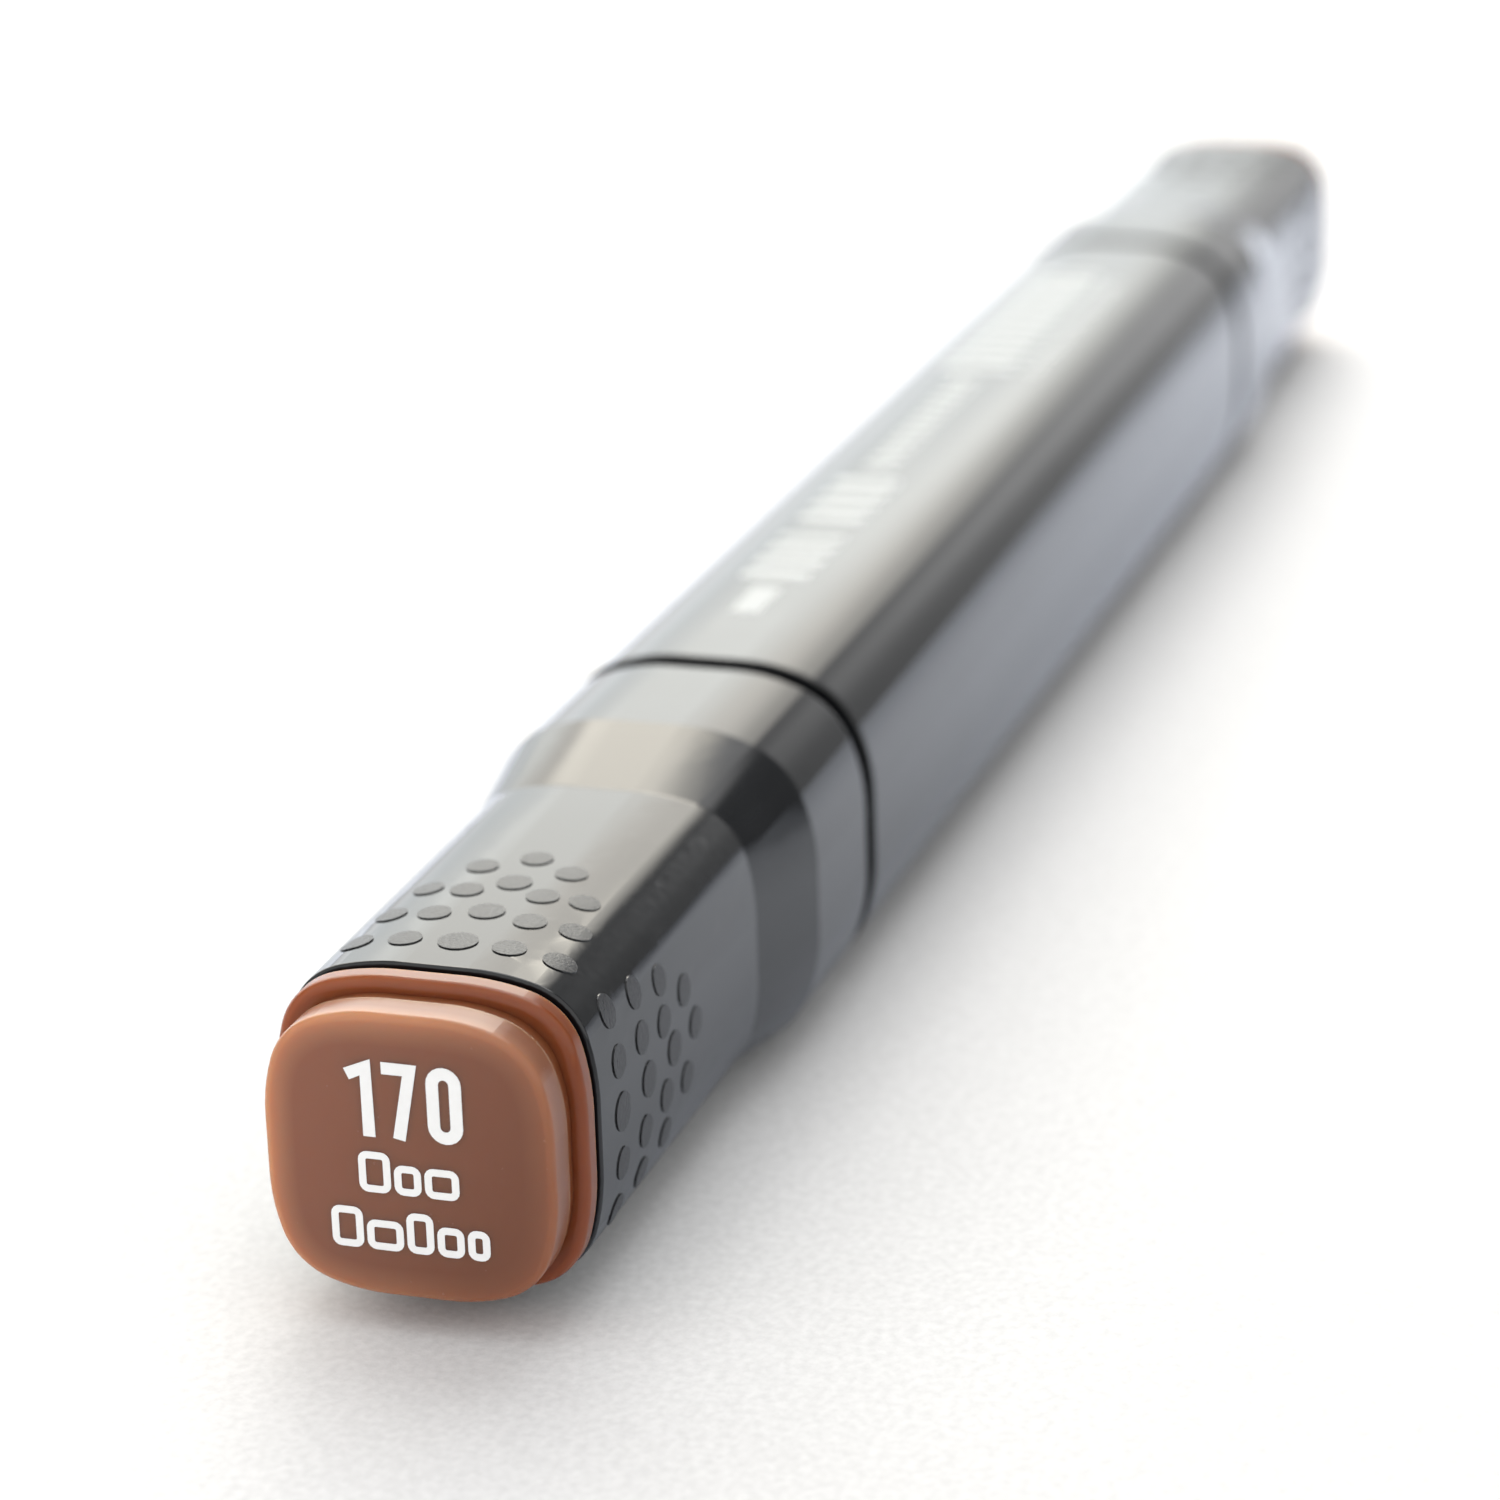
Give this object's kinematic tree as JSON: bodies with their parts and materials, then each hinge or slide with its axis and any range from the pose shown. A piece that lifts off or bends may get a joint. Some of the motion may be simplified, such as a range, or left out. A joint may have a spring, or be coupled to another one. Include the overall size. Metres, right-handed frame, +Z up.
{
  "type": "felt tip marker",
  "caption": "Double-ended felt tip marker with a squared barrel, a broad and a fine felt nib, and a pull-off cap with a coloured end plug over each nib.",
  "frame": {"origin": "centre of the marker, on its long axis", "axes": "+X along the marker towards the fine nib's end, +Z up from the side it rests on"},
  "size_m": [0.1544, 0.015, 0.015],
  "materials": {
    "shell_plastic": "dark grey, polished",
    "holder_plastic": "black, satin",
    "plug_plastic": "brown, waxy and slightly translucent",
    "liner_plastic": "natural white, satin",
    "nib_felt": "ink soaked pressed felt",
    "reservoir_fibre": "ink soaked bonded fibre",
    "sleeve_film": "thin clear film, taken as milky"
  },
  "bodies": {
    "marker": {"barrel": "shell_plastic", "reservoir_fibre": "reservoir_fibre", "reservoir_sleeve": "sleeve_film", "broad_nib_holder": "holder_plastic", "broad_nib": "nib_felt", "fine_nib_holder": "holder_plastic", "fine_nib": "nib_felt"},
    "broad_cap": {"broad_cap_shell": "shell_plastic", "broad_cap_liner": "liner_plastic", "broad_cap_end_plug": "plug_plastic"},
    "fine_cap": {"fine_cap_shell": "shell_plastic", "fine_cap_liner": "liner_plastic", "fine_cap_end_plug": "plug_plastic"}
  },
  "joints": [
    {"name": "broad_cap_pull", "type": "slide", "parent": "marker", "child": "broad_cap", "axis": [-1, 0, 0], "range_m": [0, 0.045]},
    {"name": "fine_cap_pull", "type": "slide", "parent": "marker", "child": "fine_cap", "axis": [1, 0, 0], "range_m": [0, 0.045]}
  ]
}
